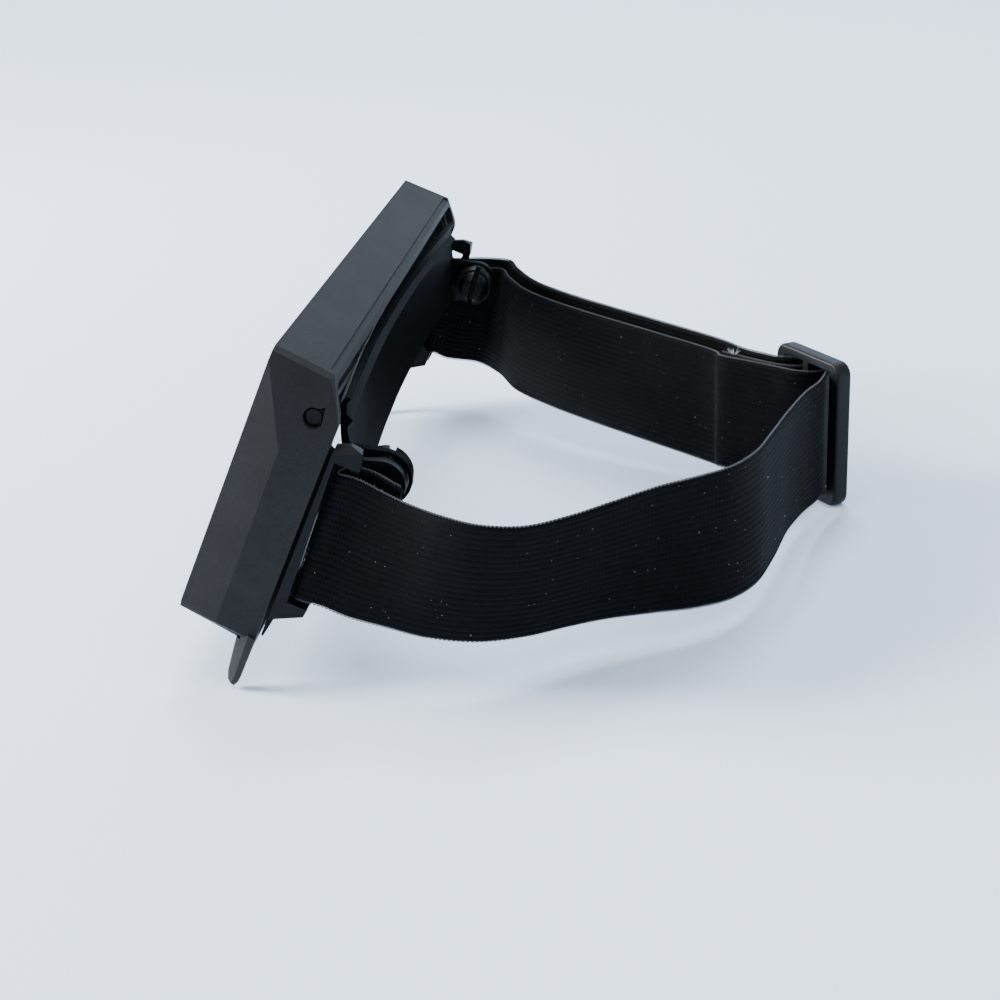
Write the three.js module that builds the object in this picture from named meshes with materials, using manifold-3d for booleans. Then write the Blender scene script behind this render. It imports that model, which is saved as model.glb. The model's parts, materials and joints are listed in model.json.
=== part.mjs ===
// Head visor magnifier: a hood with a wide lens, flipped up on two temple pins,
// carried by two side brackets, a forehead band and an adjustable elastic strap.
// Millimetres, +X is the wearer's left, +Y is behind the wearer, +Z is up.
// The visor stands on its two finger tabs and on the foot of the strap buckle.
import * as THREE from "three";
import { ConvexGeometry } from "three/addons/geometries/ConvexGeometry.js";
import { mergeVertices } from "three/addons/utils/BufferGeometryUtils.js";
import Module from "manifold-3d";

const HOOD_LEAN = 24.2; // degrees the hood leans against the strap's plane
const STAND_LEAN = 6.5; // degrees the strap's plane drops towards the buckle
const HOOD_HEIGHT = 66.5;
const TOP_FRONT_HALF = 94; // half widths of the hood
const TOP_REAR_HALF = 96.6;
const FOLD_FRONT_HALF = 99;
const FOLD_REAR_HALF = 101.4;
const BOTTOM_FRONT_HALF = 95;
const REAR_EDGE_Y = 19.3; // depth of the side walls
const TOP_REAR_Y = 14.2; // depth of the top panel
const WALL = 2;
const PIVOT = [13.6, -9.8]; // y and z of the temple pins, in the hood's own frame
const PIN_R = 1.9;
const PIN_HOLE_R = 2.3;
const LENS = { half: 83.5, top: -5.6, bottom: -60.4, front: 3, edge: 2, crown: 3 };
const WINDOW = { half: 81, top: -8.2, bottom: -57.8 };
const RETAINER = { front: LENS.front + LENS.edge + 0.4, thick: 1.6 };
const SCREW_X = 86.8;
const SCREW_Z = [-10.5, -56];
const SLOT = [[21.4, -16.4], [24.9, -16.4], [25.8, -51.6], [22.9, -51.6]]; // strap slot, y and z
const STUD = [20.9, -31.8]; // y and z of the split studs, in the strap's frame
const STUD_R = 5.4;
const STUD_TIP = 78;
const SLIT_TILT = 17; // degrees the slit of each stud leans to the rear
const PLATE = [90.4, 92.6]; // inner plates of the brackets
const BAND_HALF = 88.6;
const STRAP_THICK = 1.6;
const BUCKLE = { x: 4, y: 112, angle: 31.3, length: 27, top: -25.2, bottom: -62.8 };

const PLASTIC = { color: 0x2a2b2e, roughness: 0.75, metalness: 0 };
const SATIN = { color: 0x17181a, roughness: 0.45, metalness: 0 };
const WEBBING = { color: 0x0c0c0f, roughness: 0.95, metalness: 0 };
const THREAD = { color: 0x101013, roughness: 0.8, metalness: 0 };
const CLEAR = { color: 0xdfe8ea, roughness: 0.05, metalness: 0 };
const STEEL = { color: 0x8c8f94, roughness: 0.3, metalness: 1 };

const wasm = await Module();
wasm.setup();
const rad = THREE.MathUtils.degToRad;
const v3 = (x, y, z) => new THREE.Vector3(x, y, z);

// ---- solids -------------------------------------------------------------

function solid(geometry) {
  const bare = new THREE.BufferGeometry();
  bare.setAttribute("position", geometry.getAttribute("position"));
  if (geometry.index) bare.setIndex(geometry.index);
  const merged = mergeVertices(bare, 1e-4);
  return new wasm.Manifold(
    new wasm.Mesh({
      numProp: 3,
      vertProperties: new Float32Array(merged.attributes.position.array),
      triVerts: new Uint32Array(merged.index.array),
    }),
  );
}

function geometryOf(manifold) {
  const mesh = manifold.getMesh();
  const positions = new Float32Array(mesh.vertProperties);
  const geometry = new THREE.BufferGeometry();
  geometry.setAttribute("position", new THREE.BufferAttribute(positions, 3));
  geometry.setIndex(new THREE.BufferAttribute(new Uint32Array(mesh.triVerts), 1));
  return geometry;
}

const union = (...parts) => parts.reduce((sum, part) => sum.add(part));

function hull(points) {
  return solid(new ConvexGeometry(points.map((p) => v3(...p))));
}

// A polygon of (y, z) points, or a THREE.Shape of them, given a thickness along X.
function plateX(outline, x0, x1) {
  const shape = outline instanceof THREE.Shape
    ? outline
    : new THREE.Shape(outline.map(([y, z]) => new THREE.Vector2(y, z)));
  const geometry = new THREE.ExtrudeGeometry(shape, {
    depth: x1 - x0,
    bevelEnabled: false,
    curveSegments: 10,
  });
  geometry.applyMatrix4(new THREE.Matrix4().makeBasis(v3(0, 1, 0), v3(0, 0, 1), v3(1, 0, 0)));
  geometry.translate(x0, 0, 0);
  return solid(geometry);
}

function barX(y, z, radius, x0, x1, endRadius = radius, sides = 28) {
  const geometry = new THREE.CylinderGeometry(endRadius, radius, x1 - x0, sides);
  geometry.rotateZ(-Math.PI / 2);
  geometry.translate((x0 + x1) / 2, y, z);
  return solid(geometry);
}

function barY(x, z, radius, y0, y1, sides = 20) {
  const geometry = new THREE.CylinderGeometry(radius, radius, y1 - y0, sides);
  geometry.translate(x, (y0 + y1) / 2, z);
  return solid(geometry);
}

function block(x0, x1, y0, y1, z0, z1) {
  const geometry = new THREE.BoxGeometry(x1 - x0, y1 - y0, z1 - z0);
  geometry.translate((x0 + x1) / 2, (y0 + y1) / 2, (z0 + z1) / 2);
  return solid(geometry);
}

function mirrored(points) {
  return points.flatMap(([x, y, z]) => [[x, y, z], [-x, y, z]]);
}

const flip = (part, side) => (side > 0 ? part : part.mirror([1, 0, 0]));
const turned = (part, degrees) => part.rotate([degrees, 0, 0]);

// Points in the strap's frame written in the hood's frame.
function toHood([y, z]) {
  const c = Math.cos(rad(HOOD_LEAN));
  const s = Math.sin(rad(HOOD_LEAN));
  return [c * y - s * z, s * y + c * z];
}

// A closed surface through rings of equally many points.
function skin(rings) {
  const n = rings[0].length;
  const positions = rings.flat().flatMap((p) => [p.x, p.y, p.z]);
  const index = [];
  for (let i = 0; i + 1 < rings.length; i++) {
    for (let k = 0; k < n; k++) {
      const a = i * n + k;
      const b = i * n + ((k + 1) % n);
      index.push(a, b, b + n, a, b + n, a + n);
    }
  }
  const last = (rings.length - 1) * n;
  const cap = THREE.ShapeUtils.triangulateShape(capOutline(rings[0]), []);
  for (const [a, b, c] of cap) {
    index.push(a, c, b);
    index.push(last + a, last + b, last + c);
  }
  const geometry = new THREE.BufferGeometry();
  geometry.setAttribute("position", new THREE.Float32BufferAttribute(positions, 3));
  geometry.setIndex(index);
  const made = solid(geometry);
  if (made.volume() > 0) return made;
  for (let i = 0; i < index.length; i += 3) {
    [index[i + 1], index[i + 2]] = [index[i + 2], index[i + 1]];
  }
  geometry.setIndex(index);
  return solid(geometry);
}

// The first ring seen along its own normal, for filling in the ends.
function capOutline(ring) {
  const normal = v3(0, 0, 0);
  ring.forEach((p, i) => {
    const q = ring[(i + 1) % ring.length];
    normal.add(v3().crossVectors(p, q));
  });
  normal.normalize();
  const u = ring[1].clone().sub(ring[0]).normalize();
  const w = v3().crossVectors(normal, u);
  return ring.map((p) => new THREE.Vector2(p.dot(u), p.dot(w)));
}

// Webbing that follows stations, each a pair of [x, y, z]: its top and bottom edge.
// from and to pick a stretch of it; inset moves both edges towards its middle.
function ribbon(stations, { thick, steps, offsetAt = () => 0, from = 0, to = 1, inset = 0 }) {
  const edge = (k) => stations.map((station) => v3(...station[k]));
  const upper = new THREE.CatmullRomCurve3(edge(0), false, "centripetal");
  const lower = new THREE.CatmullRomCurve3(edge(1), false, "centripetal");
  const rings = [];
  for (let i = 0; i <= steps; i++) {
    const t = from + ((to - from) * i) / steps;
    const a = upper.getPoint(t);
    const b = lower.getPoint(t);
    const across = a.clone().sub(b).normalize();
    a.addScaledVector(across, -inset);
    b.addScaledVector(across, inset);
    const along = upper.getTangent(t).add(lower.getTangent(t)).normalize();
    const out = v3().crossVectors(along, across).normalize();
    const near = out.clone().multiplyScalar(offsetAt(t) + thick / 2);
    const far = out.clone().multiplyScalar(offsetAt(t) - thick / 2);
    rings.push([a.clone().add(near), a.clone().add(far), b.clone().add(far), b.clone().add(near)]);
  }
  return skin(rings);
}

// ---- the hood -----------------------------------------------------------

function hoodBlank(inset, rear) {
  const slope = (y) => y / REAR_EDGE_Y;
  const top = (y) => TOP_FRONT_HALF + (TOP_REAR_HALF - TOP_FRONT_HALF) * slope(y) - inset;
  const side = (y) => FOLD_FRONT_HALF + (FOLD_REAR_HALF - FOLD_FRONT_HALF) * slope(y - 9.3) - inset;
  const front = inset;
  const points = [];
  const roof = (y) => -0.03 * y - inset;
  for (const y of [front, rear ?? TOP_REAR_Y]) {
    points.push([top(y) - 2.6, y, roof(y)]);
    points.push([top(y) - 0.8, y, roof(y) - 0.8]);
    points.push([top(y) + 0.1, y, roof(y) - 2.8]);
  }
  const edge = rear ?? REAR_EDGE_Y;
  const foot = -HOOD_HEIGHT + 2.7 + inset * 0.6;
  points.push([side(9.3), 9.3 + inset * 0.4, -19.5]);
  points.push([side(9.6), 9.6 + inset * 0.4, foot]);
  points.push([side(edge), edge, -17.6]);
  points.push([side(edge), edge, foot]);
  if (rear === undefined) {
    points.push([side(edge) - 1.2, edge, -9.2]);
    points.push([side(edge) - 1.6, edge - 0.8, -7.2]);
  }
  points.push([BOTTOM_FRONT_HALF - inset, front + 0.2, -HOOD_HEIGHT + 2.4 + inset * 0.6]);
  points.push([BOTTOM_FRONT_HALF - 0.5 - inset, front + 0.4, -HOOD_HEIGHT + 0.8 + inset]);
  points.push([BOTTOM_FRONT_HALF - 2 - inset, front + 0.8, -HOOD_HEIGHT + inset]);
  points.push([side(edge) - 3, edge, -HOOD_HEIGHT + inset]);
  return hull(mirrored(points));
}

// Finger tab under the rear corner of each side wall, used to lift the hood.
function fingerTab() {
  const root = [[97.3, 14.6], [100.6, 17.6], [101.3, REAR_EDGE_Y], [97.3, REAR_EDGE_Y]];
  const low = [[97.3, 15.9], [99.8, 17.9], [100.6, REAR_EDGE_Y - 0.1], [97.3, REAR_EDGE_Y - 0.1]];
  const tip = [[97.6, 16.6], [99, 17.6], [99.4, 18.5], [97.6, 18.5]];
  return hull([
    ...root.map(([x, y]) => [x, y, -HOOD_HEIGHT + 3.4]),
    ...low.map(([x, y]) => [x, y, -HOOD_HEIGHT - 8.4]),
    ...tip.map(([x, y]) => [x, y, -HOOD_HEIGHT - 10.4]),
  ]);
}

function hoodShell() {
  let shell = hoodBlank(0).subtract(hoodBlank(WALL, 27));
  // Open window in front of the lens, with a sloped reveal.
  const w = WINDOW;
  shell = shell.subtract(
    hull(mirrored([
      [w.half + 2, -0.5, w.top + 2],
      [w.half + 2, -0.5, w.bottom - 2],
      [w.half, WALL + 1, w.top],
      [w.half, WALL + 1, w.bottom],
    ])),
  );
  // Relief in the floor for the wearer's nose and cheeks.
  shell = shell.subtract(
    hull([
      ...mirrored([[74, 13, -70], [66, 8.5, -70], [74, 40, -70]]),
      ...mirrored([[74, 13, -62], [66, 8.5, -62], [74, 40, -62]]),
    ]),
  );
  // Stepped lip along the rear of the top panel.
  shell = shell.subtract(
    hull(mirrored([
      [TOP_REAR_HALF - 5, TOP_REAR_Y - 1.3, -1],
      [TOP_REAR_HALF - 5, TOP_REAR_Y + 1, -1.1],
      [TOP_REAR_HALF - 5, TOP_REAR_Y - 1.3, 1],
      [TOP_REAR_HALF - 5, TOP_REAR_Y + 1, 1],
    ])),
  );
  for (const side of [1, -1]) {
    shell = shell.add(flip(fingerTab(), side));
    // Narrow opening between the floor's edge and the tab.
    const gap = block(95.4, 102, 12.4, 15.9, -HOOD_HEIGHT + 0.6, -HOOD_HEIGHT + 1.5);
    shell = shell.subtract(flip(gap, side));
    // Pin hole with its assembly notch.
    const [y, z] = PIVOT;
    const notch = [[y - 0.6, z + 1.6], [y + 2.1, z + 0.4], [y + 1.7, z + 3.3]];
    const hole = union(barX(y, z, PIN_HOLE_R, 90, 104), plateX(notch, 90, 104));
    shell = shell.subtract(flip(hole, side));
    for (const row of SCREW_Z) {
      const boss = barY(SCREW_X, row, 2.4, WALL - 0.6, LENS.front + LENS.edge + 0.1);
      const bore = barY(SCREW_X, row, 0.75, 1.6, 8, 14);
      shell = shell.add(flip(boss, side)).subtract(flip(bore, side));
    }
  }
  return shell;
}

// The magnifying lens: flat behind, gently domed in front.
function mainLens() {
  const { half, top, bottom, front, edge, crown } = LENS;
  const nx = 28;
  const nz = 10;
  const dome = (i, k) => {
    const u = (2 * i) / nx - 1;
    const w = (2 * k) / nz - 1;
    return crown * (1 - u * u) * (1 - w * w);
  };
  const rings = [];
  for (let i = 0; i <= nx; i++) {
    const x = -half + (2 * half * i) / nx;
    const ring = [];
    for (let k = 0; k <= nz; k++) {
      ring.push(v3(x, front - dome(i, k), bottom + ((top - bottom) * k) / nz));
    }
    for (let k = nz; k >= 0; k--) {
      ring.push(v3(x, front + edge, bottom + ((top - bottom) * k) / nz));
    }
    rings.push(ring);
  }
  return skin(rings);
}

function lensRetainer() {
  const y0 = RETAINER.front;
  const y1 = y0 + RETAINER.thick;
  let ring = block(-89.4, 89.4, y0, y1, -61.6, -4.6);
  ring = ring.subtract(block(-79.5, 79.5, y0 - 1, y1 + 1, -56.4, -9.6));
  for (const side of [1, -1]) {
    for (const z of SCREW_Z) {
      ring = ring.subtract(barY(side * SCREW_X, z, 1.3, y0 - 1, y1 + 1, 16));
    }
  }
  return ring;
}

function retainerScrew(side, z) {
  const x = side * SCREW_X;
  const seat = RETAINER.front + RETAINER.thick + 0.3;
  const head = barY(x, z, 1.9, seat, seat + 1.3, 20);
  const slot = block(x - 1.4, x + 1.4, seat + 0.7, seat + 2, z - 0.25, z + 0.25);
  const cross = block(x - 0.25, x + 0.25, seat + 0.7, seat + 2, z - 1.4, z + 1.4);
  const shank = barY(x, z, 0.6, 2, seat + 0.2, 12);
  return union(head.subtract(slot).subtract(cross), shank);
}

// ---- head frame ---------------------------------------------------------

// Side bracket: an inner plate on the pin, and an outer block with the strap slot.
function bracket() {
  const rear = [[27.9, -49.6], [27.4, -53.6], [20.3, -57.4]];
  const face = [[20.3, -15.2], [26.4, -12.2], [27.1, -15.4], ...rear];
  const back = [[20.3, -13.4], [23.4, -12], [26, -12.4], [27.1, -15.4], ...rear];
  const outer = hull([
    ...face.map(([y, z]) => [100.6, y, z]),
    ...back.map(([y, z]) => [98.6, y, z]),
    ...back.map(([y, z]) => [96.9, y, z]),
  ]);
  const stud = toHood(STUD);
  const leg = [[21.2, -60.5], [20.2, -66.2], [19.7, -66], [19.6, -59]];
  const round = [[9.6, -15], [9.6, -6.6], [11.6, -5.4], [15.2, -5.4], [18.6, -10.5], [19, -17]];
  const behind = [[22.6, -18.6], [22.6, -46.5], [27.2, -49], [27.2, -53.4], [22.6, -56.5]];
  const plate = [...round, ...behind, ...leg, [17.2, -55], [16.6, -24]];
  const inner = union(
    plateX(plate, PLATE[0], PLATE[1]),
    hull([
      ...PLATE.flatMap((x) => [[x, 21, -18.6], [x, 21, -34]]),
      ...PLATE.flatMap((x) => ringPoints(x, stud, STUD_R + 0.2, 20)),
    ]),
  );
  const web = block(PLATE[0], 98, 20.3, 21.1, -56.9, -18.8);
  let made = union(inner, outer, web);
  made = made.subtract(plateX(SLOT, PLATE[1] + 0.3, 103));
  // The bar behind the slot is set back on both faces, so the webbing lies flush.
  const bar = [SLOT[0], [30, SLOT[0][1]], [30, SLOT[2][1]], SLOT[3]];
  made = made.subtract(plateX(bar, 98.6, 103));
  made = made.subtract(barX(PIVOT[0], PIVOT[1], PIN_R + 0.3, 88, 96));
  return turned(made, -HOOD_LEAN);
}

function ringPoints(x, [y, z], radius, count) {
  return Array.from({ length: count }, (_, i) => {
    const a = (2 * Math.PI * i) / count;
    return [x, y + radius * Math.cos(a), z + radius * Math.sin(a)];
  });
}

// Temple pin with its flat head on the inside.
function pivotPin() {
  const [y, z] = PIVOT;
  return turned(union(barX(y, z, PIN_R, 89, 97.1), barX(y, z, 3.2, 88.9, 90.1)), -HOOD_LEAN);
}

// Friction washer between the bracket and the hood's side wall.
function pivotWasher() {
  const [y, z] = PIVOT;
  return turned(barX(y, z, 3, 92.9, 93.6).subtract(barX(y, z, PIN_R + 0.3, 92, 95)), -HOOD_LEAN);
}

// Split snap stud that carries the end of the forehead band.
function splitStud() {
  const [y, z] = STUD;
  const body = union(
    barX(y, z, STUD_R, STUD_TIP + 5, PLATE[0] - 0.3),
    barX(y, z, STUD_R - 1, STUD_TIP + 1.6, STUD_TIP + 5.1, STUD_R),
    barX(y, z, STUD_R - 2.4, STUD_TIP, STUD_TIP + 1.7, STUD_R - 1),
    barX(y, z, STUD_R, STUD_TIP + 3.4, STUD_TIP + 5.4, STUD_R + 0.7),
    barX(y, z, STUD_R + 0.7, STUD_TIP + 5.3, STUD_TIP + 6.4, STUD_R),
  );
  const slit = block(STUD_TIP - 1, 85.4, -0.8, 0.8, -9, 9);
  return body.subtract(slit.rotate([-SLIT_TILT, 0, 0]).translate([0, y, z]));
}

// Forehead band: a ribbed channel bowed forward between the two studs.
function foreheadBand() {
  const half = BAND_HALF;
  const rear = [[1.5, -13.2], [0.4, -14.6], [0.2, -16.8], [1.5, -18.2], [0.1, -19.8], [0.4, -23.4],
    [1.6, -28.4], [3.4, -33.4]];
  const front = [[2.4, -34.4], [0.2, -29.5], [-1.5, -23], [-1.4, -15], [0.2, -12.8]];
  const outline = [...rear, ...front];
  const bow = (x) => 10 + 3.6 * (x / half) ** 2;
  const rings = [];
  for (let i = 0; i <= 36; i++) {
    const x = -half + (2 * half * i) / 36;
    rings.push(outline.map(([y, z]) => v3(x, bow(x) + y, z)));
  }
  let band = skin(rings);
  for (const side of [1, -1]) {
    const faces = [half - 2.2, half];
    const lug = hull([
      ...faces.flatMap((x) => [[x, 13.4, -24], [x, 14.4, -32.6]]),
      ...faces.flatMap((x) => ringPoints(x, STUD, STUD_R + 1.1, 24)),
    ]);
    const room = barX(STUD[0], STUD[1], STUD_R + 1.3, STUD_TIP - 2, half - 2.4);
    const hole = barX(STUD[0], STUD[1], STUD_R + 0.3, 82, 95);
    band = band.subtract(flip(room, side)).add(flip(lug, side)).subtract(flip(hole, side));
  }
  return band;
}

// ---- strap and buckle ---------------------------------------------------

// Each station of the strap: the top edge, then the bottom edge.
const LEFT_RUN = [
  [[96.9, 13, -27], [96.9, 1, -56.1]],
  [[98.8, 13.3, -27], [98.8, 1.4, -56.1]],
  [[100, 15.8, -27.1], [100, 4, -56.4]],
  [[100.6, 19, -28.2], [100.4, 7.8, -57.4]],
  [[102.8, 23.4, -29.7], [102.4, 13.4, -58.8]],
  [[107.6, 30.2, -30.8], [105.2, 22.6, -60]],
  [[114, 38, -30.8], [108, 32, -61]],
  [[117.6, 46, -31.2], [109.4, 43, -61.2]],
  [[117.2, 55, -31.5], [107, 53, -61]],
  [[113, 64, -30.8], [102.6, 62, -60.6]],
  [[107, 72, -30.2], [99, 70, -60.4]],
  [[99.6, 81.5, -29.6], [96.2, 80, -60.2]],
  [[94.4, 90, -29.2], [93.6, 89, -60.2]],
  [[89, 97, -29], [89.4, 96.4, -60.1]],
  [[80, 102.4, -29], [81.4, 102.4, -60]],
  [[66, 106.8, -29], [67, 107, -60]],
  [[51, 111.4, -28.7], [50.4, 111, -59.8]],
  [[38.2, 115.9, -28.5], [38, 115.7, -59.5]],
];
const RIGHT_RUN = [
  [[-96.9, 13, -27], [-96.9, 1, -56.1]],
  [[-98.8, 13.3, -27], [-98.8, 1.4, -56.1]],
  [[-100, 15.8, -27.1], [-100, 4, -56.4]],
  [[-100.2, 19.6, -27.1], [-100.2, 7.8, -56.8]],
  [[-99.2, 24.4, -27], [-99.8, 13.6, -57.2]],
  [[-94.4, 31, -26.6], [-97.1, 21.8, -57.8]],
  [[-82, 35, -26.4], [-86, 30, -58]],
  [[-65, 41.6, -26], [-67.5, 37.6, -58]],
  [[-50, 51.4, -25.8], [-51, 49.4, -57.8]],
  [[-36, 63.8, -26], [-36.6, 62.8, -58]],
  [[-19, 81, -26.6], [-19.4, 80.6, -58.4]],
  [[-4, 97, -27.6], [-4.2, 96.8, -59]],
];

// A point in the buckle's own axes (s along it, t outwards) moved to the strap's frame.
function atBuckle(s, t, z) {
  const a = rad(BUCKLE.angle);
  return [BUCKLE.x + s * Math.cos(a) - t * Math.sin(a), BUCKLE.y + s * Math.sin(a) + t * Math.cos(a), z];
}

function placeBuckle(made) {
  return made.rotate([0, 0, BUCKLE.angle]).translate([BUCKLE.x, BUCKLE.y, 0]);
}

// Tri-glide buckle: two rails, an end bar each side and a centre bar.
function buckle() {
  const { length: l, top, bottom } = BUCKLE;
  const rail = 2.4;
  const rounded = new THREE.Shape();
  const r = 3.4;
  rounded.absarc(l - r, top - r, r, 0, Math.PI / 2);
  rounded.absarc(r, top - r, r, Math.PI / 2, Math.PI);
  rounded.absarc(r, bottom + r, r, Math.PI, 1.5 * Math.PI);
  rounded.absarc(l - r, bottom + r, r, 1.5 * Math.PI, 2 * Math.PI);
  const sheet = new THREE.ExtrudeGeometry(rounded, {
    depth: 2.6,
    bevelEnabled: true,
    bevelThickness: 0.8,
    bevelSize: 0.8,
    bevelOffset: -0.8,
    bevelSegments: 3,
    curveSegments: 8,
  });
  sheet.rotateX(Math.PI / 2);
  sheet.translate(0, 1.3, 0);
  let made = solid(sheet);
  made = made.subtract(block(3.8, 11.8, -6, 6, bottom + rail, top - rail));
  made = made.subtract(block(14.2, l - 3.8, -6, 6, bottom + rail, top - rail));
  return placeBuckle(made);
}

// Stations along a path of (s, t) points in the buckle's axes.
function alongBuckle(path, top, bottom) {
  return path.map(([s, t]) => [atBuckle(s, t, top), atBuckle(s, t, bottom)]);
}

// Webbing through the buckle: inside both end bars and outside the centre bar.
function strapWeave() {
  const path = [[30.1, -13.9], [26.6, -7.4], [23.3, -3.8], [19.9, -0.3], [17, 3.1], [13, 4.7],
    [9, 3.1], [6.5, -0.1], [3.2, -3.5], [-1, -5], [-8, -6.9], [-13.9, -8.5]];
  return ribbon(alongBuckle(path, -28.4, -59.3), { thick: STRAP_THICK - 0.2, steps: 54 });
}

// The strap's end: folded round the centre bar and sewn back on itself.
const END_LOOP = [[-9.6, -13.1], [-1, -10], [6, -7.2], [12, -4.9], [15.4, -2.2], [16.2, 0], [15.4, 2.1],
  [13, 3.1], [10.6, 2.1], [9.8, 0], [9.2, -2.6], [5.4, -5.5], [-1, -7.9], [-13.2, -11.4]];

function bandOfThread(stations, offset, from, to) {
  return ribbon(stations, { thick: 0.4, steps: 4, from, to, inset: 1.6, offsetAt: () => offset });
}

// ---- assembly -----------------------------------------------------------

const pieces = [];
const addPiece = (name, made, look) => pieces.push({ name, made, look });
const sides = [["left", 1], ["right", -1]];

addPiece("hood_shell", turned(hoodShell(), -HOOD_LEAN), PLASTIC);
addPiece("main_lens", turned(mainLens(), -HOOD_LEAN), CLEAR);
addPiece("lens_retainer", turned(lensRetainer(), -HOOD_LEAN), PLASTIC);
for (const [name, side] of sides) {
  SCREW_Z.forEach((z, i) => {
    const row = i ? "lower" : "upper";
    addPiece("retainer_screw_" + row + "_" + name, turned(retainerScrew(side, z), -HOOD_LEAN), STEEL);
  });
  addPiece("strap_bracket_" + name, flip(bracket(), side), SATIN);
  addPiece("pivot_pin_" + name, flip(pivotPin(), side), SATIN);
  addPiece("friction_washer_" + name, flip(pivotWasher(), side), PLASTIC);
  addPiece("split_stud_" + name, flip(splitStud(), side), SATIN);
}
addPiece("forehead_band", foreheadBand(), SATIN);

// Both folds pass inside the bracket's bar, then close up on the run.
const closing = (t) => 2.9 * THREE.MathUtils.smoothstep(t, 0.26, 0.4);
const fold = (side) => [
  [[side * 96.2, 13.3, -27.1], [side * 96.2, 1.4, -56.2]],
  [[side * 94.9, 14.2, -27.1], [side * 94.9, 2.2, -56.3]],
  [[side * 95, 17, -27], [side * 95, 5.2, -56.6]],
];
const tail = [
  ...fold(1),
  [[96.8, 21, -27.6], [96.8, 10.4, -57.4]],
  [[100, 24.8, -28.4], [100.4, 15.6, -58.4]],
  [[102, 27.4, -28.9], [101.6, 19, -58.8]],
];
const lower = ([x, y, z]) => [x, y, z - 2.4];
const inner = [
  ...fold(-1),
  [[-95.6, 20.6, -29], [-95.6, 9, -58.6]],
  ...RIGHT_RUN.slice(5).map((station) => station.map(lower)),
];
addPiece("strap_left_run", ribbon(LEFT_RUN, { thick: STRAP_THICK, steps: 96 }), WEBBING);
addPiece("strap_left_tail", ribbon(tail, { thick: 1.4, steps: 30 }), WEBBING);
addPiece("seam_left", bandOfThread(tail, -1.2, 0.8, 0.87), THREAD);
addPiece("strap_buckle_run", strapWeave(), WEBBING);
addPiece("buckle", buckle(), SATIN);
const endLoop = alongBuckle(END_LOOP, -29.6, -60.2);
addPiece("strap_end_loop", ribbon(endLoop, { thick: 1.1, steps: 60 }), WEBBING);
addPiece("seam_buckle", bandOfThread(endLoop, 1.1, 0.03, 0.06), THREAD);
addPiece("strap_right_outer", ribbon(RIGHT_RUN, { thick: STRAP_THICK, steps: 64 }), WEBBING);
const innerLayer = ribbon(inner, { thick: STRAP_THICK, steps: 64, offsetAt: closing });
addPiece("strap_right_inner", innerLayer, WEBBING);

const group = new THREE.Group();
group.name = "head_visor_magnifier";
for (const { name, made, look } of pieces) {
  const geometry = geometryOf(turned(made, -STAND_LEAN));
  const mesh = new THREE.Mesh(geometry, new THREE.MeshStandardMaterial(look));
  mesh.name = name;
  group.add(mesh);
}
// Origin: middle of the footprint, at the height the visor stands on.
const bounds = new THREE.Box3().setFromObject(group);
const shift = v3(-(bounds.min.x + bounds.max.x) / 2, -(bounds.min.y + bounds.max.y) / 2, -bounds.min.z);
group.position.copy(shift);

export default group;
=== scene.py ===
"""Head visor magnifier: its looks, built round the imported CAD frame. Metres, +Z up.

The plastic and metal CAD nodes stay, with rounded edges and better materials. The strap is one
length of knitted elastic that follows its stations, and the sewn seams are rows of stitches.
"""
import json
import math
import random

import bmesh
import bpy
from mathutils import Matrix, Vector
from mathutils.noise import noise


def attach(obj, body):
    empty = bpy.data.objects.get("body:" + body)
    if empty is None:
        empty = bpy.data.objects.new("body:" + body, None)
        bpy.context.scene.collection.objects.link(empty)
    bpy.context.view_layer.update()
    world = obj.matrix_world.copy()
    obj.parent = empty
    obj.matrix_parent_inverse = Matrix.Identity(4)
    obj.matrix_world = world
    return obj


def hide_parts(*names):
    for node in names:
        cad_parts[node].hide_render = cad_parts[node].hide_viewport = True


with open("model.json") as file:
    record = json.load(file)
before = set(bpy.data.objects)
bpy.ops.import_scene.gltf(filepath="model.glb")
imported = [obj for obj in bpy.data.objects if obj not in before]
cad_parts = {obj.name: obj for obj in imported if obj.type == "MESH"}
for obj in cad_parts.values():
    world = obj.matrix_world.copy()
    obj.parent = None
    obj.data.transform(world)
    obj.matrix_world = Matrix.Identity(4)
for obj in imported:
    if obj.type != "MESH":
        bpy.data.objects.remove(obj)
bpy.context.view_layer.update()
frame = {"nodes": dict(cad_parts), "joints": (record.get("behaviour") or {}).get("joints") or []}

MM = 0.001
scene = bpy.context.scene

# ---- camera, floor and light ----------------------------------------------------------------


CAMERA_PLACE = (0.43742, 0.05493, 0.16776)
CAMERA_RIGHT = (-0.1026, 0.9830, -0.1520)
CAMERA_UP = (-0.3618, 0.1055, 0.9263)
CAMERA_LENS = 63.07  # millimetres, on a sensor 36 mm wide


def make_camera():
    """The camera looks at the wearer's left side from above, rolled a little."""
    right = Vector(CAMERA_RIGHT)
    up = Vector(CAMERA_UP)
    back = right.cross(up).normalized()
    right = up.cross(back).normalized()
    up = back.cross(right)
    data = bpy.data.cameras.new("camera")
    data.sensor_width = 36
    data.lens = CAMERA_LENS
    data.clip_start = 0.02
    data.clip_end = 20
    camera = bpy.data.objects.new("camera", data)
    turn = Matrix((right, up, back)).transposed().to_4x4()
    camera.matrix_world = Matrix.Translation(CAMERA_PLACE) @ turn
    scene.collection.objects.link(camera)
    scene.camera = camera


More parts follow.
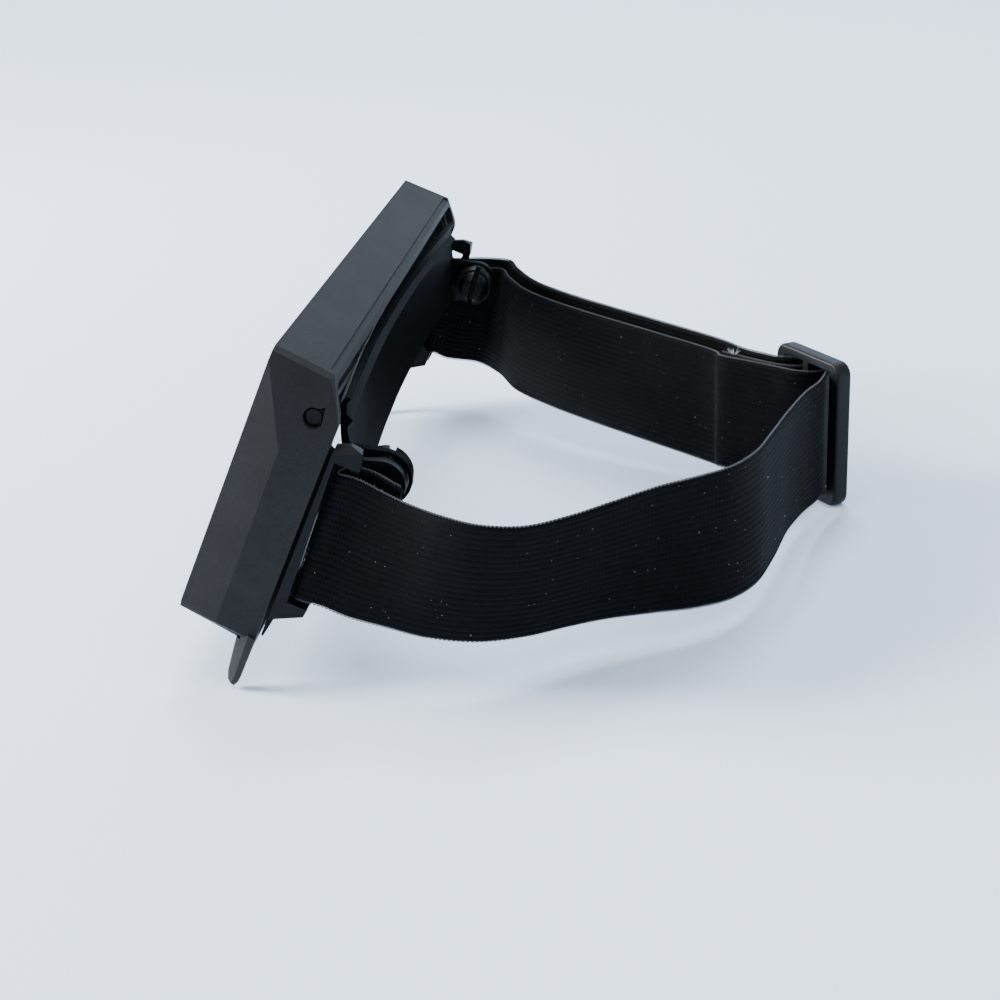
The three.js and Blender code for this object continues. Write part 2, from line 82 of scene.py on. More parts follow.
def make_floor():
    """A pale sweep: flat under the object, and rising far away from it on every side."""
    bm = bmesh.new()
    rings, sides, flat, reach = 14, 72, 0.9, 3.2
    loops = []
    for i in range(rings + 1):
        r = flat + (reach - flat) * i / rings
        z = 1.6 * ((r - flat) / (reach - flat)) ** 2.2
        angles = [2 * math.pi * k / sides for k in range(sides)]
        loops.append([bm.verts.new((r * math.cos(a), r * math.sin(a), z)) for a in angles])
    bm.faces.new(loops[0])
    for a, b in zip(loops, loops[1:]):
        for k in range(sides):
            bm.faces.new((a[k], b[k], b[(k + 1) % sides], a[(k + 1) % sides]))
    mesh = bpy.data.meshes.new("floor")
    bm.to_mesh(mesh)
    bm.free()
    for face in mesh.polygons:
        face.use_smooth = True
    floor = bpy.data.objects.new("floor", mesh)
    scene.collection.objects.link(floor)
    material, shader, nodes, links = new_material("floor")
    shader.inputs["Base Color"].default_value = (0.75, 0.85, 1.0, 1)
    shader.inputs["Roughness"].default_value = 0.75
    mesh.materials.append(material)


def area_light(name, place, aim, size, power, colour=(1, 1, 1)):
    data = bpy.data.lights.new(name, "AREA")
    data.shape = "DISK"
    data.size = size
    data.energy = power
    data.color = colour
    light = bpy.data.objects.new(name, data)
    light.location = place
    light.rotation_mode = "QUATERNION"
    light.rotation_quaternion = (Vector(aim) - Vector(place)).to_track_quat("-Z", "Y")
    scene.collection.objects.link(light)


def make_lights():
    """A softbox in front of the visor, one overhead, two that wash the floor, and a dim room."""
    world = bpy.data.worlds.new("studio")
    scene.world = world
    world.use_nodes = True
    background = world.node_tree.nodes["Background"]
    background.inputs["Color"].default_value = (0.82, 0.90, 1.0, 1)
    background.inputs["Strength"].default_value = 0.38
    middle = (0, 0.02, 0.04)
    area_light("front_softbox", (-0.36, -1.4, 0.8), middle, 0.8, 78, (0.95, 0.975, 1))
    area_light("overhead_softbox", (0.1, 0.0, 1.7), middle, 1.2, 13, (0.93, 0.965, 1))
    area_light("backdrop_wash", (-1.5, 0.4, 2.2), (-1.5, 0.4, 0), 1.2, 62, (0.84, 0.92, 1))
    area_light("foreground_wash", (0.8, 0.8, 1.3), (0.4, 0.4, 0), 1.2, 14, (0.90, 0.95, 1))


# ---- materials ------------------------------------------------------------------------------


def new_material(name):
    material = bpy.data.materials.new(name)
    material.use_nodes = True
    tree = material.node_tree
    return material, tree.nodes["Principled BSDF"], tree.nodes, tree.links


def coordinates(nodes, kind="Object"):
    return nodes.new("ShaderNodeTexCoord").outputs[kind]


def noise_node(nodes, links, vector, scale, detail=3.0, roughness=0.55):
    node = nodes.new("ShaderNodeTexNoise")
    node.inputs["Scale"].default_value = scale
    node.inputs["Detail"].default_value = detail
    node.inputs["Roughness"].default_value = roughness
    links.new(vector, node.inputs["Vector"])
    return node.outputs["Fac"]


def ramp(nodes, links, value, stops, interpolation="LINEAR"):
    node = nodes.new("ShaderNodeValToRGB")
    node.color_ramp.interpolation = interpolation
    elements = node.color_ramp.elements
    while len(elements) < len(stops):
        elements.new(0.5)
    for element, (place, colour) in zip(elements, stops):
        element.position = place
        element.color = (*colour, 1) if len(colour) == 3 else colour
    links.new(value, node.inputs["Fac"])
    return node.outputs["Color"]


def grey(v):
    return (v, v, v)


def maths(nodes, links, operation, a, b=None):
    node = nodes.new("ShaderNodeMath")
    node.operation = operation
    for socket, value in zip(node.inputs, (a, b)):
        if value is None:
            continue
        if isinstance(value, (int, float)):
            socket.default_value = value
        else:
            links.new(value, socket)
    return node.outputs[0]


def mix_colour(nodes, links, fac, a, b, blend="MIX"):
    node = nodes.new("ShaderNodeMix")
    node.data_type = "RGBA"
    node.blend_type = blend
    for name, value in (("Factor", fac), ("A", a), ("B", b)):
        socket = node.inputs[name]
        if isinstance(value, (int, float)):
            socket.default_value = value
        elif isinstance(value, tuple):
            socket.default_value = (*value, 1)
        else:
            links.new(value, socket)
    return node.outputs["Result"]


def bump(nodes, links, height, distance, strength=1.0, under=None):
    node = nodes.new("ShaderNodeBump")
    node.inputs["Distance"].default_value = distance
    node.inputs["Strength"].default_value = strength
    links.new(height, node.inputs["Height"])
    if under is not None:
        links.new(under, node.inputs["Normal"])
    return node.outputs["Normal"]


def moulded_plastic(name, dark, light, rough, shine, grain, grain_depth, scuffs_and_edge_highlight):
    """Moulded plastic: fine grain, faint flow marks and smudges, and edges made a little pale,
    partly by scuffing and partly as a painted edge highlight.

    rough and shine set its gloss, grain is the texture's scale and grain_depth its depth in mm.
    """
    material, shader, nodes, links = new_material(name)
    place = coordinates(nodes)
    flow = noise_node(nodes, links, place, 28, 2.0)
    fine = noise_node(nodes, links, place, grain, 4.0, 0.65)
    tint = ramp(nodes, links, flow, [(0.3, dark), (0.72, light)])
    speck = ramp(nodes, links, fine, [(0.35, grey(0.86)), (0.68, grey(1.12))])
    colour = mix_colour(nodes, links, 1.0, tint, speck, "MULTIPLY")
    # Pale edges from Pointiness, in patches: partly scuffing, partly a painted edge highlight.
    edges = nodes.new("ShaderNodeNewGeometry").outputs["Pointiness"]
    scuffed_and_highlit_edges = ramp(nodes, links, edges, [(0.515, grey(0)), (0.60, grey(1))])
    blotches = noise_node(nodes, links, place, 90, 3.0)
    patches = ramp(nodes, links, blotches, [(0.42, grey(0)), (0.62, grey(1))])
    where = maths(nodes, links, "MULTIPLY", maths(nodes, links, "MULTIPLY", scuffed_and_highlit_edges, patches), scuffs_and_edge_highlight)
    pale_scuff_and_highlight_colour = tuple(min(1.0, v * 2.2 + 0.02) for v in light)
    links.new(mix_colour(nodes, links, where, colour, pale_scuff_and_highlight_colour), shader.inputs["Base Color"])
    smudge = noise_node(nodes, links, place, 60, 3.0)
    gloss = ramp(nodes, links, smudge, [(0.3, grey(rough - 0.02)), (0.7, grey(rough + 0.02))])
    links.new(gloss, shader.inputs["Roughness"])
    links.new(bump(nodes, links, fine, grain_depth * MM, 0.7), shader.inputs["Normal"])
    shader.inputs["Specular IOR Level"].default_value = shine
    return material


def lens_acrylic():
    material, shader, nodes, links = new_material("lens_acrylic")
    place = coordinates(nodes)
    shader.inputs["Base Color"].default_value = (0.96, 0.985, 0.99, 1)
    shader.inputs["Transmission Weight"].default_value = 1.0
    shader.inputs["IOR"].default_value = 1.49
    dust = noise_node(nodes, links, place, 160, 5.0, 0.7)
    haze = ramp(nodes, links, dust, [(0.5, grey(0.015)), (0.85, grey(0.10))])
    links.new(haze, shader.inputs["Roughness"])
    ripple = noise_node(nodes, links, place, 14, 1.0)
    links.new(bump(nodes, links, ripple, 0.02 * MM, 0.3), shader.inputs["Normal"])
    return material


def zinc_steel():
    material, shader, nodes, links = new_material("zinc_steel")
    place = coordinates(nodes)
    shader.inputs["Metallic"].default_value = 1.0
    cloud = noise_node(nodes, links, place, 900, 3.0)
    tint = ramp(nodes, links, cloud, [(0.3, (0.42, 0.43, 0.45)), (0.7, (0.62, 0.62, 0.60))])
    links.new(tint, shader.inputs["Base Color"])
    gloss = ramp(nodes, links, cloud, [(0.2, grey(0.24)), (0.8, grey(0.42))])
    links.new(gloss, shader.inputs["Roughness"])
    scratch = noise_node(nodes, links, place, 4200, 2.0)
    links.new(bump(nodes, links, scratch, 0.015 * MM, 0.6), shader.inputs["Normal"])
    return material


def strap_coordinates(nodes, links):
    """Millimetres along and across the webbing, from the mesh's own attribute."""
    node = nodes.new("ShaderNodeAttribute")
    node.attribute_name = "webbing_mm"
    split = nodes.new("ShaderNodeSeparateXYZ")
    links.new(node.outputs["Vector"], split.inputs[0])
    return node.outputs["Vector"], split.outputs["X"], split.outputs["Y"]


def knitted_elastic():
    """Black knitted elastic: ribs come from the mesh, stitches and lint from here."""
    material, shader, nodes, links = new_material("knitted_elastic")
    vector, along, across = strap_coordinates(nodes, links)

    def value(operation, a, b=None):
        return maths(nodes, links, operation, a, b)

    # Each rib is a column of slanted knit loops, with a pinhole between loops in the valleys: a
    # dent in the bump, and painted shade in the colour.
    rib = value("MULTIPLY", across, math.pi / RIB_PITCH)
    crest = value("ABSOLUTE", value("SINE", rib))
    slant = value("MULTIPLY", value("COSINE", value("MULTIPLY", rib, 2.0)), 0.16)
    beat = value("ADD", value("MULTIPLY", along, 1 / LOOP_PITCH), slant)
    loop = value("SINE", value("MULTIPLY", beat, 2 * math.pi))
    loop = value("ADD", value("MULTIPLY", loop, 0.5), 0.5)
    valley = value("SUBTRACT", 1.0, crest)
    hole = value("MULTIPLY", value("POWER", valley, 2.0), value("POWER", loop, 2.0))
    relief = value("SUBTRACT", value("MULTIPLY", loop, 0.45), value("MULTIPLY", hole, 1.6))
    # Painted shade: the pinholes are darkened in the base colour.
    shade = ramp(nodes, links, hole, [(0.05, grey(1.0)), (0.45, grey(0.12))])
    wide = noise_node(nodes, links, vector, 0.16, 2.0)
    base = ramp(nodes, links, wide, [(0.3, WEBBING_DARK), (0.7, WEBBING_LIGHT)])
    base = mix_colour(nodes, links, 1.0, base, shade, "MULTIPLY")
    lint = nodes.new("ShaderNodeTexVoronoi")
    lint.inputs["Scale"].default_value = 0.55
    links.new(vector, lint.inputs["Vector"])
    spot = ramp(nodes, links, lint.outputs["Distance"], [(0.035, grey(1)), (0.07, grey(0))])
    rare = ramp(nodes, links, lint.outputs["Color"], [(0.45, grey(0)), (0.50, grey(1))])
    fleck = value("MULTIPLY", spot, rare)
    links.new(mix_colour(nodes, links, fleck, base, FLECK), shader.inputs["Base Color"])
    fuzz = noise_node(nodes, links, vector, 9.0, 3.0)
    shader.inputs["Roughness"].default_value = 0.78
    shader.inputs["Specular IOR Level"].default_value = 0.06
    shader.inputs["Sheen Weight"].default_value = 0.012
    shader.inputs["Sheen Roughness"].default_value = 0.4
    rough_yarn = bump(nodes, links, fuzz, 0.05 * MM, 0.5)
    links.new(bump(nodes, links, relief, 0.16 * MM, 0.5, rough_yarn), shader.inputs["Normal"])
    return material


def yarn(name, colour):
    """Twisted thread: fine diagonal strands."""
    material, shader, nodes, links = new_material(name)
    place = coordinates(nodes)
    wave = nodes.new("ShaderNodeTexWave")
    wave.bands_direction = "DIAGONAL"
    wave.inputs["Scale"].default_value = 1400
    wave.inputs["Distortion"].default_value = 1.5
    links.new(place, wave.inputs["Vector"])
    light = tuple(min(1.0, v * 1.5 + 0.004) for v in colour)
    tint = ramp(nodes, links, wave.outputs["Fac"], [(0.2, colour), (0.8, light)])
    links.new(tint, shader.inputs["Base Color"])
    shader.inputs["Roughness"].default_value = 0.6
    shader.inputs["Sheen Weight"].default_value = 0.2
    links.new(bump(nodes, links, wave.outputs["Fac"], 0.05 * MM, 0.7), shader.inputs["Normal"])
    return material


# ---- carried-over CAD nodes -----------------------------------------------------------------


def finish_node(name, material, edge, segments=3, angle=28):
    """Rounds a CAD node's edges with modifiers and gives it its material."""
    node = frame["nodes"][name]
    node.data.materials.clear()
    node.data.materials.append(material)
    for face in node.data.polygons:
        face.use_smooth = True
    weld = node.modifiers.new("weld", "WELD")
    weld.merge_threshold = 0.004 * MM
    flat = node.modifiers.new("join_flats", "DECIMATE")
    flat.decimate_type = "DISSOLVE"
    flat.angle_limit = math.radians(0.6)
    if edge:
        bevel = node.modifiers.new("round_edges", "BEVEL")
        bevel.limit_method = "ANGLE"
        bevel.angle_limit = math.radians(angle)
        bevel.width = edge * MM
        bevel.segments = segments
        bevel.harden_normals = True
        bevel.use_clamp_overlap = True
    normals = node.modifiers.new("smooth_normals", "WEIGHTED_NORMAL")
    normals.keep_sharp = True
    normals.weight = 80


# ---- the strap ------------------------------------------------------------------------------

STAND_LEAN = 6.5  # degrees the strap's plane drops towards the buckle
HOOD_LEAN = 24.2  # degrees the hood leans against the strap's plane
PIVOT = (13.6, -9.8)  # y and z of the temple pins in the hood's own frame, in millimetres
BUCKLE_PLACE = (4, 112)
BUCKLE_ANGLE = math.radians(31.3)
RIBS = 21
WIDTH = 31.0
RIB_PITCH = WIDTH / RIBS
LOOP_PITCH = 0.95
WEBBING_DARK = (0.0016, 0.0017, 0.0021)
WEBBING_LIGHT = (0.0026, 0.0027, 0.0032)
FLECK = (0.22, 0.23, 0.25)


def turned_x(point, degrees):
    """The point turned about X by minus that angle, as the CAD turns its frames."""
    a = -math.radians(degrees)
    x, y, z = point
    return Vector((x, y * math.cos(a) - z * math.sin(a), y * math.sin(a) + z * math.cos(a)))


PIN = Vector(next(j for j in frame["joints"] if j["name"] == "hood_flip")["pos_m"])
SHIFT = PIN - turned_x((0, *PIVOT), HOOD_LEAN + STAND_LEAN) * MM


def to_row(point):
    """Millimetres in the strap's frame to metres in the row's frame."""
    return turned_x(point, STAND_LEAN) * MM + SHIFT


# Each station is the strap's top edge and bottom edge, in millimetres in the strap's frame.
LEFT_TAIL = [
    ((96.2, 13.3, -27.1), (96.2, 1.4, -56.2)), ((94.9, 14.2, -27.1), (94.9, 2.2, -56.3)),
    ((95, 17, -27), (95, 5.2, -56.6)), ((96.8, 21, -27.6), (96.8, 10.4, -57.4)),
    ((100, 24.8, -28.4), (100.4, 15.6, -58.4)), ((102, 27.4, -28.9), (101.6, 19, -58.8)),
]
LEFT_RUN = [
    ((96.9, 13, -27), (96.9, 1, -56.1)), ((98.8, 13.3, -27), (98.8, 1.4, -56.1)),
    ((100, 15.8, -27.1), (100, 4, -56.4)), ((100.6, 19, -28.2), (100.4, 7.8, -57.4)),
    ((102.8, 23.4, -29.7), (102.4, 13.4, -58.8)), ((107.6, 30.2, -30.8), (105.2, 22.6, -60)),
    ((114, 38, -30.8), (108, 32, -61)), ((117.6, 46, -31.2), (109.4, 43, -61.2)),
    ((117.2, 55, -31.5), (107, 53, -61)), ((113, 64, -30.8), (102.6, 62, -60.6)),
    ((107, 72, -30.2), (99, 70, -60.4)), ((99.6, 81.5, -29.6), (96.2, 80, -60.2)),
    ((94.4, 90, -29.2), (93.6, 89, -60.2)), ((89, 97, -29), (89.4, 96.4, -60.1)),
    ((80, 102.4, -29), (81.4, 102.4, -60)), ((66, 106.8, -29), (67, 107, -60)),
    ((51, 111.4, -28.7), (50.4, 111, -59.8)), ((38.2, 115.9, -28.5), (38, 115.7, -59.5)),
]
RIGHT_RUN = [
    ((-96.9, 13, -27), (-96.9, 1, -56.1)), ((-98.8, 13.3, -27), (-98.8, 1.4, -56.1)),
    ((-100, 15.8, -27.1), (-100, 4, -56.4)), ((-100.2, 19.6, -27.1), (-100.2, 7.8, -56.8)),
    ((-99.2, 24.4, -27), (-99.8, 13.6, -57.2)), ((-94.4, 31, -26.6), (-97.1, 21.8, -57.8)),
    ((-82, 35, -26.4), (-86, 30, -58)), ((-65, 41.6, -26), (-67.5, 37.6, -58)),
    ((-50, 51.4, -25.8), (-51, 49.4, -57.8)), ((-36, 63.8, -26), (-36.6, 62.8, -58)),
    ((-19, 81, -26.6), (-19.4, 80.6, -58.4)), ((-4, 97, -27.6), (-4.2, 96.8, -59)),
]
# Along and out of the buckle, in millimetres in its own axes.
WEAVE = [
    (26.6, -7.4), (23.3, -3.8), (19.9, -0.3), (17, 3.1), (13, 4.7),
    (9, 3.1), (6.5, -0.1), (3.2, -3.5), (-1, -5), (-8, -6.9),
]
END_LOOP = [
    (-9.6, -13.1), (-1, -10), (6, -7.2), (12, -4.9), (15.4, -2.2), (16.2, 0), (15.4, 2.1),
    (13, 3.1), (10.6, 2.1), (9.8, 0), (9.2, -2.6), (5.4, -5.5), (-1, -7.9), (-13.2, -11.4),
]


def at_buckle(s, t, z):
    c, n = math.cos(BUCKLE_ANGLE), math.sin(BUCKLE_ANGLE)
    return (BUCKLE_PLACE[0] + s * c - t * n, BUCKLE_PLACE[1] + s * n + t * c, z)


def along_buckle(path, top, bottom):
    return [(at_buckle(s, t, top), at_buckle(s, t, bottom)) for s, t in path]


def moved_in(stations, gap, drop):
    """The same run, gap millimetres nearer to the head and drop lower."""
    made = []
    for i, (a, b) in enumerate(stations):
        before = stations[max(i - 1, 0)]
        after = stations[min(i + 1, len(stations) - 1)]
        along = Vector(after[0]) + Vector(after[1]) - Vector(before[0]) - Vector(before[1])
        out = Vector((along.y, -along.x, 0)).normalized() * gap
        made.append(tuple(tuple(Vector(p) + out - Vector((0, 0, drop))) for p in (a, b)))
    return made


def strap_stations():
    """The whole strap from its sewn left end to its sewn right end, with its thickness."""
    def with_thickness(stations, thick):
        return [(Vector(a), Vector(b), thick) for a, b in stations]

    def other_side(stations):
        return [tuple((-x, y, z) for x, y, z in s) for s in stations]

    inner = other_side(LEFT_TAIL[:3]) + [((-95.6, 20.6, -29), (-95.6, 9, -58.6))]
    inner += moved_in(RIGHT_RUN[5:], 2.9, 2.4)
    return (
        with_thickness(LEFT_TAIL[::-1], 1.25)
        + with_thickness(LEFT_RUN, 1.45)
        + with_thickness(along_buckle(WEAVE, -28.4, -59.3), 1.3)
        + with_thickness(RIGHT_RUN[::-1], 1.45)
        + with_thickness(inner, 1.45)
        + with_thickness(along_buckle(END_LOOP, -29.6, -60.2), 1.05)
    )


def centripetal(points):
    """Knot values for a centripetal curve through the points."""
    knots = [0.0]
    for a, b in zip(points, points[1:]):
        knots.append(knots[-1] + max((b - a).length, 1e-6) ** 0.5)
    return knots


def curve_point(points, knots, k, t):
    """Catmull-Rom through points[k] and points[k + 1], at the knot value t."""
    last = len(points) - 1
    p = [points[max(k - 1, 0)], points[k], points[k + 1], points[min(k + 2, last)]]
    u = [knots[max(k - 1, 0)], knots[k], knots[k + 1], knots[min(k + 2, last)]]
    if k == 0:
        p[0], u[0] = 2 * p[1] - p[2], 2 * u[1] - u[2]
    if k + 2 > last:
        p[3], u[3] = 2 * p[2] - p[1], 2 * u[2] - u[1]

    def mix(a, b, ua, ub):
        return a * ((ub - t) / (ub - ua)) + b * ((t - ua) / (ub - ua))

    a1, a2, a3 = (mix(p[i], p[i + 1], u[i], u[i + 1]) for i in range(3))
    b1 = mix(a1, a2, u[0], u[2])
    b2 = mix(a2, a3, u[1], u[3])
    return mix(b1, b2, u[1], u[2])


def strap_line(step):
    """Rings along the strap: top, bottom, outward normal, thickness and distance."""
    stations = strap_stations()
    tops = [s[0] for s in stations]
    bottoms = [s[1] for s in stations]
    middles = [(a + b) / 2 for a, b in zip(tops, bottoms)]
    knots = centripetal(middles)
    fine = []
    for k in range(len(stations) - 1):
        parts = max(6, int((middles[k + 1] - middles[k]).length / 0.25))
        for i in range(parts):
            t = knots[k] + (knots[k + 1] - knots[k]) * i / parts
            share = i / parts
            thick = stations[k][2] * (1 - share) + stations[k + 1][2] * share
            fine.append((curve_point(tops, knots, k, t), curve_point(bottoms, knots, k, t), thick))
    fine.append((tops[-1], bottoms[-1], stations[-1][2]))
    lengths = [0.0]
    for a, b in zip(fine, fine[1:]):
        lengths.append(lengths[-1] + ((b[0] + b[1] - a[0] - a[1]) / 2).length)
    total = lengths[-1]
    rings = []
    count = round(total / step)
    j = 0
    for i in range(count + 1):
        want = total * i / count
        while j < len(fine) - 2 and lengths[j + 1] < want:
            j += 1
        share = (want - lengths[j]) / max(lengths[j + 1] - lengths[j], 1e-9)
        a, b = fine[j], fine[j + 1]
        thick = a[2] * (1 - share) + b[2] * share
        rings.append([a[0].lerp(b[0], share), a[1].lerp(b[1], share), None, thick, want])
    for i, ring in enumerate(rings):
        before, after = rings[max(i - 2, 0)], rings[min(i + 2, count)]
        along = (after[0] + after[1] - before[0] - before[1]).normalized()
        across = (ring[0] - ring[1]).normalized()
        ring[2] = along.cross(across).normalized()
    return rings, total


def rib_height(v):
    """Rounded ribs with narrow valleys, from 0 at a valley to 1 on a crest; v is across, 0 to 1."""
    return abs(math.sin(math.pi * v * RIBS)) ** 0.6


def build_strap(rings, material):
    """Closed ribbed band with rounded selvedges, and its own millimetres along and across."""
    per_rib = 4
    columns = RIBS * per_rib
    bm = bmesh.new()
    layer = bm.verts.layers.float_vector.new("webbing_mm")
    loops = []
    for top, bottom, out, thick, along in rings:
        width = (top - bottom).length
        loop = []
        for face in (1, -1):
            for c in range(columns + 1):
                v = (c + 0.5 * (c == 0) - 0.5 * (c == columns)) / columns
                v = v if face > 0 else 1 - v
                rim = min(v, 1 - v) * width
                swell = min(1.0, (max(rim, 0.05) / 0.7)) ** 0.5
                ribs = 0.13 * (rib_height(v) - 1)
                half = (thick / 2 + ribs) * swell
                wander = 0.10 * noise(Vector((along * 0.06, v * 3.0, face * 0.2)))
                place = top.lerp(bottom, v) + out * (face * half + wander)
                vertex = bm.verts.new(to_row(place))
                vertex[layer] = (along, v * WIDTH, face * 20)
                loop.append(vertex)
        loops.append(loop)
    n = len(loops[0])
    for a, b in zip(loops, loops[1:]):
        for k in range(n):
            bm.faces.new((a[k], a[(k + 1) % n], b[(k + 1) % n], b[k]))
    half = n // 2
    for loop, front in ((loops[0], True), (loops[-1], False)):
        for k in range(half - 1):
            corners = (loop[k], loop[n - 1 - k], loop[n - 2 - k], loop[k + 1])
            bm.faces.new(corners if front else corners[::-1])
    bmesh.ops.recalc_face_normals(bm, faces=bm.faces)
    return mesh_object("elastic_strap", bm, material)


def mesh_object(name, bm, *materials):
    mesh = bpy.data.meshes.new(name)
    bm.to_mesh(mesh)
    bm.free()
    for face in mesh.polygons:
        face.use_smooth = True
    for material in materials:
        mesh.materials.append(material)
    piece = bpy.data.objects.new(name, mesh)
    scene.collection.objects.link(piece)
    return piece


def tube(bm, points, radius, sides=6, taper=0.0, slot=0):
    """A thin round thread through points in metres, closed at both ends."""
    rings = []
    last = len(points) - 1
    for i, p in enumerate(points):
        along = (points[min(i + 1, last)] - points[max(i - 1, 0)]).normalized()
        side = along.orthogonal() if i == 0 else side - along * side.dot(along)
        side.normalize()
        other = along.cross(side)
        r = radius * (1 - taper * i / last)
        if i in (0, last):
            r *= 0.55
        rings.append([
            bm.verts.new(p + (side * math.cos(a) + other * math.sin(a)) * r)
            for a in (2 * math.pi * k / sides for k in range(sides))
        ])
    for a, b in zip(rings, rings[1:]):
        for k in range(sides):
            bm.faces.new((a[k], a[(k + 1) % sides], b[(k + 1) % sides], b[k])).material_index = slot
    bm.faces.new(rings[0][::-1]).material_index = slot
    bm.faces.new(rings[-1]).material_index = slot


def build_edge_loops(rings, total, material):
    """The small thread loops that stand out of both selvedges of knitted elastic."""
    bm = bmesh.new()
    pitch = 0.9
    per_ring = (len(rings) - 1) / total
    count = int(total / pitch) - 1
    for edge in (0, 1):
        for i in range(1, count):
            at = i * pitch * per_ring
            k = int(at)
            ring, after = rings[k], rings[min(k + 1, len(rings) - 1)]
            share = at - k
            place = ring[edge].lerp(after[edge], share)
            along = (after[edge] - ring[edge]).normalized()
            away = (ring[edge] - ring[1 - edge]).normalized()
            out = ring[2]
            arc = []
            for a in (-90, -45, 0, 45, 90):
                a = math.radians(a)
                reach = away * (0.42 * math.cos(a) - 0.16) + out * 0.05
                arc.append(to_row(place + along * 0.36 * math.sin(a) + reach))
            tube(bm, arc, 0.17 * MM, 5)
    return mesh_object("strap_edge_loops", bm, material)


def surface_point(rings, distance, v, lift):
    """A point distance along the strap, v across it and lift off its middle, in millimetres."""
    ring = min(rings, key=lambda r: abs(r[4] - distance))
    return to_row(ring[0].lerp(ring[1], v) + ring[2] * lift)


def build_seam(name, rings, distance, rows, faces, material, extra=None):
    """Rows of lockstitches across the strap, on the faces given as heights off its middle."""
    bm = bmesh.new()
    stitches = 11
    for row in range(rows):
        for lift in faces:
            sign = 1 if lift > 0 else -1
            for i in range(stitches):
                points = []
                for k in range(6):
                    v = 0.06 + 0.88 * (i + 0.08 + 0.84 * k / 5) / stitches
                    rise = 0.16 * math.sin(math.pi * k / 5) - 0.06
                    points.append(surface_point(rings, distance + row * 2.4, v, lift + sign * rise))
                tube(bm, points, 0.2 * MM, 6)
    if extra:
        extra(bm)
    return mesh_object(name, bm, material)


def loose_ends(rings, seam_at):
    """A thread end below the seam, and frayed yarn above it, where the seam was cut off."""
    def add(bm):
        random.seed(7)
        foot = surface_point(rings, seam_at, 0.97, 1.0)
        down = Vector((0, 0.1, -1)).normalized()
        points = []
        for k in range(9):
            t = k / 8
            bend = Vector((0.9 * math.sin(2.6 * t), 1.6 * t * t, 0))
            points.append(foot + down * (3.6 * t * MM) + bend * MM)
        tube(bm, points, 0.22 * MM, 6)
        head = surface_point(rings, seam_at, 0.02, 0.6)
        for _ in range(16):
            lean = Vector([random.uniform(*span) for span in ((-1, 1), (-1, 1), (0.5, 1.3))])
            lean.normalize()
            reach = random.uniform(1.4, 3.2) * MM
            curl = Vector((random.uniform(-1, 1), random.uniform(-1, 1), 0)) * 0.5 * MM
            points = [head + lean * (reach * k / 5) + curl * (k / 5) ** 2 for k in range(6)]
            tube(bm, points, 0.055 * MM, 4, 0.5, slot=1)
    return add


def build_lint(rings, total, material):
    """Short pale fibres caught on the outside of the knit."""
    random.seed(21)
    bm = bmesh.new()
    for _ in range(70):
        distance = random.uniform(4, total - 4)
        v = random.uniform(0.05, 0.95)
        ring = min(rings, key=lambda r: abs(r[4] - distance))
        face = random.choice((1, -1))
        across = (ring[1] - ring[0]).normalized()
        lean = random.uniform(0, 2 * math.pi)
        before = rings[max(0, rings.index(ring) - 2)]
        along = (ring[0] - before[0]).normalized() if before is not ring else across.cross(ring[2])
        heading = along * math.cos(lean) + across * math.sin(lean)
        reach = random.uniform(0.15, 0.6)
        points = []
        for k in range(5):
            t = k / 4
            lift = ring[3] / 2 + 0.02 + 0.1 * math.sin(math.pi * t)
            place = ring[0].lerp(ring[1], v) + heading * (reach * (t - 0.5))
            points.append(to_row(place + ring[2] * (face * lift)))
        tube(bm, points, 0.022 * MM, 4)
    return mesh_object("strap_lint", bm, material)


# ---- build ----------------------------------------------------------------------------------

make_camera()
make_floor()
make_lights()

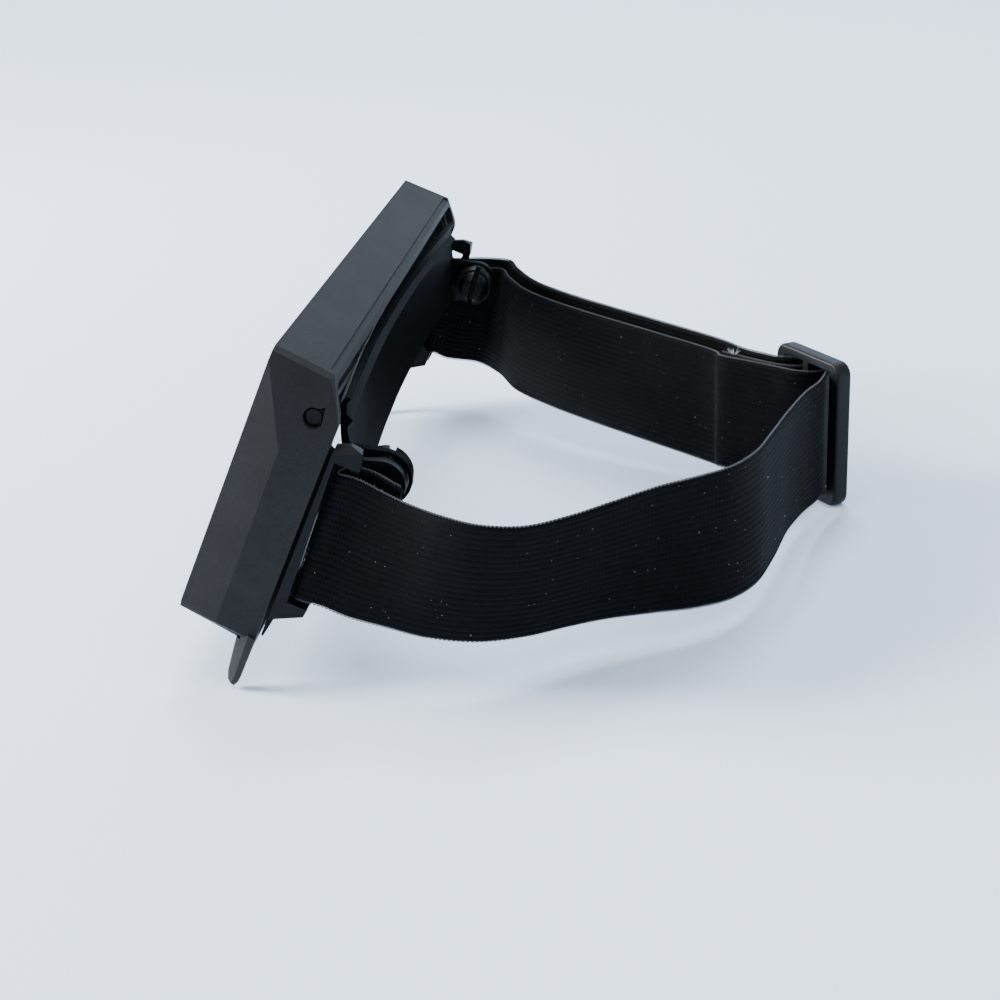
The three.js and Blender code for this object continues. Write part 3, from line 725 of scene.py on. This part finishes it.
hood_plastic = moulded_plastic(
    "hood_plastic", (0.0120, 0.0116, 0.0118), (0.0128, 0.0124, 0.0126),
    rough=0.66, shine=0.14, grain=1500, grain_depth=0.10, scuffs_and_edge_highlight=0.06,
)
frame_plastic = moulded_plastic(
    "frame_plastic", (0.0026, 0.0027, 0.0031), (0.0034, 0.0035, 0.0040),
    rough=0.42, shine=0.11, grain=2200, grain_depth=0.05, scuffs_and_edge_highlight=0.08,
)
# The frame's black plastic, made a little darker and nearly without specular: painted shade for the
# forehead band inside the hood.
band_plastic_painted_shade = moulded_plastic(
    "band_plastic_painted_shade", (0.0024, 0.0025, 0.0029), (0.0032, 0.0033, 0.0038),
    rough=0.46, shine=0.008, grain=2200, grain_depth=0.03, scuffs_and_edge_highlight=0.04,
)
buckle_plastic = moulded_plastic(
    "buckle_plastic", (0.0050, 0.0052, 0.0058), (0.0064, 0.0066, 0.0073),
    rough=0.46, shine=0.16, grain=2200, grain_depth=0.05, scuffs_and_edge_highlight=0.08,
)
nylon = moulded_plastic(
    "washer_nylon", (0.16, 0.16, 0.155), (0.22, 0.22, 0.21),
    rough=0.5, shine=0.4, grain=1800, grain_depth=0.04, scuffs_and_edge_highlight=0.3,
)
acrylic = lens_acrylic()
steel = zinc_steel()
elastic = knitted_elastic()
black_thread = yarn("black_thread", (0.012, 0.012, 0.014))
pale_yarn = yarn("pale_yarn", (0.55, 0.57, 0.60))

finish_node("hood_shell", hood_plastic, 0.35, 3, 15)
finish_node("lens_retainer", hood_plastic, 0.25, 2)
finish_node("main_lens", acrylic, 0.2, 2, 50)
finish_node("forehead_band", band_plastic_painted_shade, 0.25, 2, 24)
finish_node("buckle", buckle_plastic, 0.3, 2, 40)
for side in ("left", "right"):
    finish_node("strap_bracket_" + side, frame_plastic, 0.3)
    finish_node("pivot_pin_" + side, frame_plastic, 0.25, 2, 40)
    finish_node("friction_washer_" + side, nylon, 0.1, 2, 40)
    finish_node("split_stud_" + side, frame_plastic, 0.35, 3, 40)
    for row in ("upper", "lower"):
        finish_node("retainer_screw_" + row + "_" + side, steel, 0.1, 2, 40)

rings, strap_length = strap_line(1.0)
strap = build_strap(rings, elastic)
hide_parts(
    "strap_left_run", "strap_left_tail", "strap_buckle_run",
    "strap_end_loop", "strap_right_outer", "strap_right_inner",
)
edge_loops = build_edge_loops(rings, strap_length, black_thread)
lint = build_lint(rings, strap_length, pale_yarn)

left_seam_at = 5.5
stitches_left = build_seam("stitches_left", rings, left_seam_at, 2, (-0.72, 2.4), black_thread)
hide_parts("seam_left")
buckle_seam_at = strap_length - 5
stitches_buckle = build_seam(
    "stitches_buckle", rings, buckle_seam_at, 2, (-0.62, 2.2), black_thread,
    loose_ends(rings, buckle_seam_at),
)
stitches_buckle.data.materials.append(pale_yarn)
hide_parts("seam_buckle")

for piece, slot in (
    (strap, "webbing"), (edge_loops, "webbing"), (lint, "thread"),
    (stitches_left, "thread"), (stitches_buckle, "thread"),
):
    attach(piece, "head_frame")
